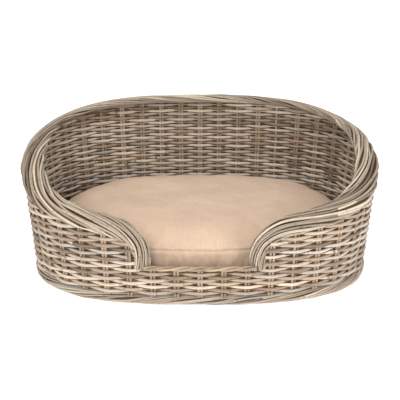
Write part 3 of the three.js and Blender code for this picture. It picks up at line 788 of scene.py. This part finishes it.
# ---- The cushion --------------------------------------------------------------------------------
band_low, band_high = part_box("cover_side_band")
panel_low, panel_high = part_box("cover_top_panel")
floor_low, floor_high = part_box("cover_bottom_panel")
BED_Y = (band_low.y + band_high.y) / 2 / MM
bed = Oval(BED_HALF_LENGTH, BED_HALF_DEPTH, BED_END_RADIUS, BED_Y)
FLOOR_Z = floor_low.z / MM
SEAM_Z = (band_high.z + panel_low.z) / 2 / MM
CROWN_Z = panel_high.z / MM
FOOT_SEAM_Z = FLOOR_Z + 4.5
tape_low, tape_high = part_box("zip_tape_lower")
ZIP_Z = tape_high.z / MM
ZIP_HALF = tape_high.x / MM


def cushion_start(shrink):
    """The closed shape the cover is sewn to before it is stuffed."""
    around = 96
    s = np.arange(around) / around * bed.length
    profile = [(0.0, FLOOR_Z + 1), (0.5, FLOOR_Z + 1), (0.85, FLOOR_Z + 1), (0.97, FLOOR_Z + 1.5)]
    profile += [(1.0, z) for z in (FLOOR_Z + 6, *np.linspace(FLOOR_Z + 14, SEAM_Z - 4, 7))]
    shares = [1.0, 0.99, 0.97, 0.94, 0.9, 0.84, 0.76, 0.66, 0.5, 0.3, 0.15, 0.0]
    height = CROWN_Z - SEAM_Z - 3
    profile += [(share, SEAM_Z + height * (1 - share**4.8) ** 0.75) for share in shares]
    mesh = bmesh.new()
    rings = []
    edge, _ = bed.at(s, -shrink)
    middle = np.array([0.0, BED_Y, 0.0])
    for share, z in profile:
        if share == 0:
            rings.append([mesh.verts.new(Vector((0, BED_Y * MM, z * MM)))])
            continue
        ring = middle + (edge - middle) * share
        rings.append([mesh.verts.new(Vector((p[0] * MM, p[1] * MM, z * MM))) for p in ring])
    for a, b in zip(rings, rings[1:]):
        for i in range(around):
            j = (i + 1) % around
            if len(a) == 1:
                mesh.faces.new((a[0], b[j], b[i]))
            elif len(b) == 1:
                mesh.faces.new((a[i], a[j], b[0]))
            else:
                mesh.faces.new((a[i], a[j], b[j], b[i]))
    bmesh.ops.recalc_face_normals(mesh, faces=mesh.faces)
    me = bpy.data.meshes.new("cushion_start")
    mesh.to_mesh(me)
    mesh.free()
    piece = bpy.data.objects.new("cushion_cover", me)
    scene.collection.objects.link(piece)
    return piece


def coordinates(me):
    co = np.empty(len(me.vertices) * 3, np.float32)
    me.vertices.foreach_get("co", co)
    return co.reshape(-1, 3).astype(float)


STUFFING_FRAMES = 20
STUFFING_CAP = 0.006  # in metres, as the other lengths given to Blender's modifiers


def inflate(piece, cap):
    """Stuffs the cover: a cloth simulation under pressure, which moves no point further than the cap."""
    remesh = piece.modifiers.new("remesh", "REMESH")
    remesh.mode = "VOXEL"
    remesh.voxel_size = 0.006
    apply_modifiers(piece)
    before = coordinates(piece.data)
    cloth = piece.modifiers.new("cloth", "CLOTH")
    settings = cloth.settings
    settings.quality = 6
    settings.mass = 0.25
    settings.tension_stiffness = settings.compression_stiffness = 12
    settings.shear_stiffness = 6
    settings.bending_stiffness = 0.4
    settings.use_pressure = True
    settings.uniform_pressure_force = 4
    settings.effector_weights.gravity = 0
    cloth.collision_settings.use_self_collision = False
    cloth.collision_settings.use_collision = False
    cloth.point_cache.frame_start = 1
    cloth.point_cache.frame_end = STUFFING_FRAMES
    for frame in range(1, STUFFING_FRAMES + 1):
        scene.frame_set(frame)
    apply_modifiers(piece)
    scene.frame_set(1)
    after = coordinates(piece.data)
    move = after - before
    length = np.linalg.norm(move, axis=1, keepdims=True)
    move *= np.minimum(1, cap / np.maximum(length, 1e-9))
    piece.data.vertices.foreach_set("co", (before + move).astype(np.float32).ravel())


cover = cushion_start(3)
inflate(cover, STUFFING_CAP)
subdivide = cover.modifiers.new("subdivision", "SUBSURF")
subdivide.levels = 1
apply_modifiers(cover)

co = coordinates(cover.data) / MM
x, y, z = co.T


def bed_place(x, y):
    """The distance round the cushion's edge of the point nearest a direction, from a table."""
    s = np.linspace(0, bed.length, 1441)
    edge, _ = bed.at(s)
    angle = np.unwrap(np.arctan2(edge[:, 1] - BED_Y, edge[:, 0]))
    here = np.arctan2(y - BED_Y, x)
    here = np.where(here < angle[0], here + 2 * np.pi, here)
    return np.interp(here, angle, s)


place_s = bed_place(x, y)
edge_point, edge_normal = bed.at(place_s)
inset = np.sum((edge_point[:, :2] - co[:, :2]) * edge_normal[:, :2], 1)
near_edge = np.exp(-(np.maximum(inset, 0) / 26) ** 2)


def wrinkle(px, py, pz, stretch):
    """Soft folds: noise drawn out along one direction."""
    return np.array([noise.fractal(Vector((a / stretch[0], b / stretch[1], c / stretch[2])), 0.6, 2.1, 3)
                     for a, b, c in zip(px, py, pz)])


# Folds run up the band and into the panel from the seam. The panel has broad dents and sinks a little at its
# edge, the band swells between its two seams, and the seams are pressed in.
FOLD_DEPTH, BAND_BULGE, SEAM_DEPTH, RIDGE_HEIGHT, FOOT_SEAM_DEPTH = 4.2, 4.5, 2.2, 0.5, 2.4
DENT_DEPTH, SLUMP_DEPTH = 3.0, 2.2
folds = wrinkle(place_s, 0 * z, z, (34, 1, 95))
dents = wrinkle(x, y, z, (150, 110, 200))
slump = wrinkle(place_s, inset, 0 * z, (60, 140, 1))
seam = np.exp(-((z - SEAM_Z) / 3.2) ** 2) * near_edge
ridge = np.exp(-((z - SEAM_Z - 5.5) / 3.0) ** 2) * near_edge
foot_seam = np.exp(-((z - FOOT_SEAM_Z) / 3.0) ** 2) * near_edge
band_share = smoothstep(z, FLOOR_Z + 6, FLOOR_Z + 30) * (1 - smoothstep(z, SEAM_Z + 26, SEAM_Z + 42))
bulge = np.sin(np.pi * np.clip((z - FOOT_SEAM_Z) / (SEAM_Z - FOOT_SEAM_Z), 0, 1))
push = near_edge * (band_share * folds * FOLD_DEPTH + bulge * BAND_BULGE)
push = push - SEAM_DEPTH * seam + RIDGE_HEIGHT * ridge - FOOT_SEAM_DEPTH * foot_seam
top_share = smoothstep(z, SEAM_Z + 2, SEAM_Z + 14)
near_top_edge = np.exp(-(np.maximum(inset, 0) / 90) ** 2)
co[:, :2] += edge_normal[:, :2] * push[:, None]
co[:, 2] += top_share * (dents * DENT_DEPTH + slump * SLUMP_DEPTH * near_top_edge)
co[:, 2] = np.maximum(co[:, 2], FLOOR_Z + 0.4)

# The back of the band stays flat behind the zip.
along_zip = np.abs(place_s - bed.length / 2)
behind_zip = 1 - smoothstep(along_zip, ZIP_HALF + 4, ZIP_HALF + 40)
behind_zip *= smoothstep(z, ZIP_Z - 17, ZIP_Z - 11) * (1 - smoothstep(z, ZIP_Z + 13, ZIP_Z + 26))
out_now = np.sum((co[:, :2] - edge_point[:, :2]) * edge_normal[:, :2], 1)
co[:, :2] += edge_normal[:, :2] * (behind_zip * near_edge * (-0.1 - out_now))[:, None]
cover.data.vertices.foreach_set("co", (co * MM).astype(np.float32).ravel())


THREADS_PER_METRE = 1100.0


def canvas_material(name):
    """Plain-woven cotton canvas: crossed threads, slubs, painted shade between the threads and a soft sheen.
    """
    surface = Surface(name)
    maths = surface.maths
    across, along, _, weave = surface.attribute("weave")
    u = maths("SINE", maths("MULTIPLY", across, THREADS_PER_METRE * math.pi))
    v = maths("SINE", maths("MULTIPLY", along, THREADS_PER_METRE * math.pi))
    crossing = maths("GREATER_THAN", maths("MULTIPLY", u, v), 0.0)
    height = surface.nodes.new("ShaderNodeMix")
    for socket, value in zip((0, 2, 3), (crossing, maths("ABSOLUTE", u), maths("ABSOLUTE", v))):
        surface.give(height.inputs[socket], value)
    slubs = surface.noise(surface.scaled(weave, (30, 420, 1)), detail=3)
    cross_slubs = surface.noise(surface.scaled(weave, (420, 30, 1)), detail=3)
    cloud = surface.noise(weave, 9.0)
    tone = surface.ramp(cloud, (0.3, srgb(199, 173, 150)), (0.5, srgb(206, 179, 155)),
                        (0.72, srgb(212, 185, 161)))
    both_slubs = maths("MULTIPLY_ADD", slubs, 0.5, maths("MULTIPLY", cross_slubs, 0.5))
    threads = surface.ramp(both_slubs, (0.3, (0.86, 0.85, 0.83)), (0.7, grey(1.06)))
    color = surface.blend("MULTIPLY", 0.8, tone, threads)
    # Painted shade: the low places between the crossing threads are darkened.
    gaps = surface.ramp(height.outputs[0], (0.0, (0.66, 0.62, 0.56)), (0.45, grey(1)))
    color = surface.blend("MULTIPLY", 0.55, color, gaps)
    surface.links.new(color, surface.shader.inputs["Base Color"])
    surface.roughen(slubs, 0.86, 0.98)
    surface.shader.inputs["Sheen Weight"].default_value = 0.12
    surface.shader.inputs["Sheen Roughness"].default_value = 0.5
    surface.shader.inputs["Specular IOR Level"].default_value = 0.2
    surface.bump(maths("MULTIPLY_ADD", slubs, 0.8, height.outputs[0]), 0.35, 0.0003)
    return surface.material


canvas = canvas_material("beige_canvas")


def add_weave(me, flat):
    """Stores the cloth's own coordinates: across the panel, or along and up the band."""
    points = coordinates(me)
    if flat:
        values = points * [1, 1, 0]
    else:
        along = bed_place(points[:, 0] / MM, points[:, 1] / MM) * MM
        values = np.stack([along, points[:, 2], 0 * along], -1)
    attribute = me.attributes.new("weave", "FLOAT_VECTOR", "POINT")
    attribute.data.foreach_set("vector", values.astype(np.float32).ravel())


CLOTH_THICKNESS = 0.0012


def cut_cover(name, low, high, flat, node):
    """The part of the cover between two heights, as its own piece of cloth with a real thickness."""
    mesh = bmesh.new()
    mesh.from_mesh(cover.data)
    for height, keep_above in ((low, True), (high, False)):
        if height is None:
            continue
        geometry = mesh.verts[:] + mesh.edges[:] + mesh.faces[:]
        bmesh.ops.bisect_plane(mesh, geom=geometry, plane_co=(0, 0, height * MM), plane_no=(0, 0, 1),
                               clear_inner=keep_above, clear_outer=not keep_above)
    me = bpy.data.meshes.new(name)
    mesh.to_mesh(me)
    mesh.free()
    piece = bpy.data.objects.new(name, me)
    scene.collection.objects.link(piece)
    thickness = piece.modifiers.new("thickness", "SOLIDIFY")
    thickness.thickness = CLOTH_THICKNESS
    thickness.offset = -1
    apply_modifiers(piece)
    add_weave(piece.data, flat)
    piece.data.polygons.foreach_set("use_smooth", np.ones(len(piece.data.polygons), bool))
    return place(piece, canvas, "cushion", "canvas", node)


top_panel = cut_cover("cushion_top_panel", SEAM_Z, None, True, "cover_top_panel")
cut_cover("cushion_side_band", FOOT_SEAM_Z, SEAM_Z, False, "cover_side_band")
cut_cover("cushion_bottom_panel", None, FOOT_SEAM_Z, True, "cover_bottom_panel")


# ---- Inside the cushion -------------------------------------------------------------------------
liner_film = plain_material("brown_film", srgb(46, 30, 22), srgb(74, 52, 40), (0.18, 0.42), 26, 0.002)
fibre = plain_material("white_fibre", srgb(214, 210, 202), srgb(240, 238, 232), (0.9, 1.0), 60, 0.003)
tape_cloth = plain_material("zip_tape_cloth", srgb(214, 200, 176), srgb(232, 220, 198), (0.8, 0.95), 160,
                            0.0004, stretch=(1, 1, 4))
coil_nylon = plain_material("zip_coil", srgb(196, 178, 150), srgb(214, 198, 172), (0.35, 0.55), 300, 0.0001)
zinc = plain_material("zinc_alloy", srgb(128, 126, 122), srgb(168, 165, 160), (0.22, 0.45), 220, 0.0001,
                      metallic=1.0)


def shrunk(name, depth, material, slot, *nodes):
    """A layer inside the cover: the stuffed shape drawn in by depth."""
    me = cover.data.copy()
    me.name = name
    normals = np.empty(len(me.vertices) * 3, np.float32)
    me.vertices.foreach_get("normal", normals)
    points = coordinates(me) - normals.reshape(-1, 3) * depth * MM
    me.vertices.foreach_set("co", points.astype(np.float32).ravel())
    me.update()
    place(bpy.data.objects.new(name, me), material, "cushion", slot, *nodes)


shrunk("cushion_liner", 3.2, liner_film, "liner_film", "liner_top", "liner_bottom")
shrunk("cushion_fibre", 5.0, fibre, "fibre_filling", "cushion_filling")
bpy.data.objects.remove(cover)


# ---- The zip ------------------------------------------------------------------------------------
def rounded(name, node, width, material, body, slot):
    """A copy of a CAD solid with its edges rounded off."""
    original = bpy.data.objects[node]
    piece = bpy.data.objects.new(name, original.data.copy())
    piece.matrix_world = original.matrix_world
    scene.collection.objects.link(piece)
    bevel = piece.modifiers.new("edges", "BEVEL")
    bevel.width = width * MM
    bevel.segments = 2
    bevel.limit_method = "ANGLE"
    apply_modifiers(piece)
    place(piece, material, body, slot, node)


rounded("zip_tape_lower_cloth", "zip_tape_lower", 0.25, tape_cloth, "cushion", "zip_tape")
rounded("zip_tape_upper_cloth", "zip_tape_upper", 0.25, tape_cloth, "cushion", "zip_tape")
rounded("zip_slider_body", "zip_slider", 0.35, zinc, "zip_slider", "zip_metal")
rounded("zip_pull_tab", "zip_pull", 0.3, zinc, "zip_pull", "zip_metal")

# The coil: a row of small loops over the line where the tapes meet.
coil = Bundle()
COIL_PITCH, COIL_POINTS = 1.6, 8
COIL_OUT, COIL_HALF_DEPTH, COIL_HALF_HEIGHT, COIL_WIRE = 1.95, 0.55, 2.4, 0.36
loops = int(2 * ZIP_HALF / COIL_PITCH)
turn = np.arange(loops * COIL_POINTS) / COIL_POINTS
coil_s = bed.length / 2 - ZIP_HALF + 2 + turn * (2 * ZIP_HALF - 4) / loops
coil_line, coil_normal = bed.at(coil_s, COIL_OUT + COIL_HALF_DEPTH * np.cos(2 * np.pi * turn))
coil_line[:, 2] = ZIP_Z + GAP / 2 + COIL_HALF_HEIGHT * np.sin(2 * np.pi * turn)
coil.cane(coil_line, coil_normal, COIL_WIRE, COIL_WIRE, sides=5)
coil.mesh("zip_coil", coil_nylon, "cushion", "zip_tape")


# ---- Floor, light and sky -----------------------------------------------------------------------
floor_mesh = bpy.data.meshes.new("floor")
floor_mesh.from_pydata([(-6, -6, 0), (6, -6, 0), (6, 6, 0), (-6, 6, 0)], [], [(0, 1, 2, 3)])
floor = bpy.data.objects.new("floor", floor_mesh)
scene.collection.objects.link(floor)
floor_surface = Surface("pale_floor")
floor_shader = floor_surface.shader
floor_shader.inputs["Base Color"].default_value = (0.97, 0.97, 0.97, 1)
floor_shader.inputs["Roughness"].default_value = 0.9
floor_shader.inputs["Emission Color"].default_value = (1, 1, 1, 1)
floor_shader.inputs["Emission Strength"].default_value = 0.5
floor_mesh.materials.append(floor_surface.material)
floor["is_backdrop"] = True

# The sky is white to the eye, and dimmer as a light, so that the lamps shape the canes.
world = bpy.data.worlds.new("studio")
world.use_nodes = True
sky_nodes, sky_links = world.node_tree.nodes, world.node_tree.links
seen = sky_nodes["Background"]
seen.inputs["Color"].default_value = (1, 1, 1, 1)
lit = sky_nodes.new("ShaderNodeBackground")
lit.inputs["Strength"].default_value = 0.8
either = sky_nodes.new("ShaderNodeMixShader")
sky_links.new(sky_nodes.new("ShaderNodeLightPath").outputs["Is Camera Ray"], either.inputs["Fac"])
sky_links.new(lit.outputs[0], either.inputs[1])
sky_links.new(seen.outputs[0], either.inputs[2])
sky_links.new(either.outputs[0], sky_nodes["World Output"].inputs["Surface"])
scene.world = world
scene.view_settings.view_transform = "Standard"


def area_light(name, location, towards, size, watts):
    data = bpy.data.lights.new(name, "AREA")
    data.shape = "RECTANGLE"
    data.size, data.size_y = size
    data.energy = watts
    light = bpy.data.objects.new(name, data)
    light.location = location
    light.rotation_euler = (Vector(towards) - Vector(location)).to_track_quat("-Z", "Y").to_euler()
    scene.collection.objects.link(light)


area_light("key", (-0.9, -1.8, 1.35), towards=(0, 0, 0.15), size=(1.1, 0.9), watts=20)
area_light("fill", (1.2, -1.7, 0.6), towards=(0, 0, 0.12), size=(1.2, 0.9), watts=16)
area_light("overhead", (0, -0.3, 2.2), towards=(0, 0, 0), size=(1.6, 1.2), watts=17)

low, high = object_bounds()
{"cad": [list(cad_low), list(cad_high)], "visual": [list(low), list(high)]}
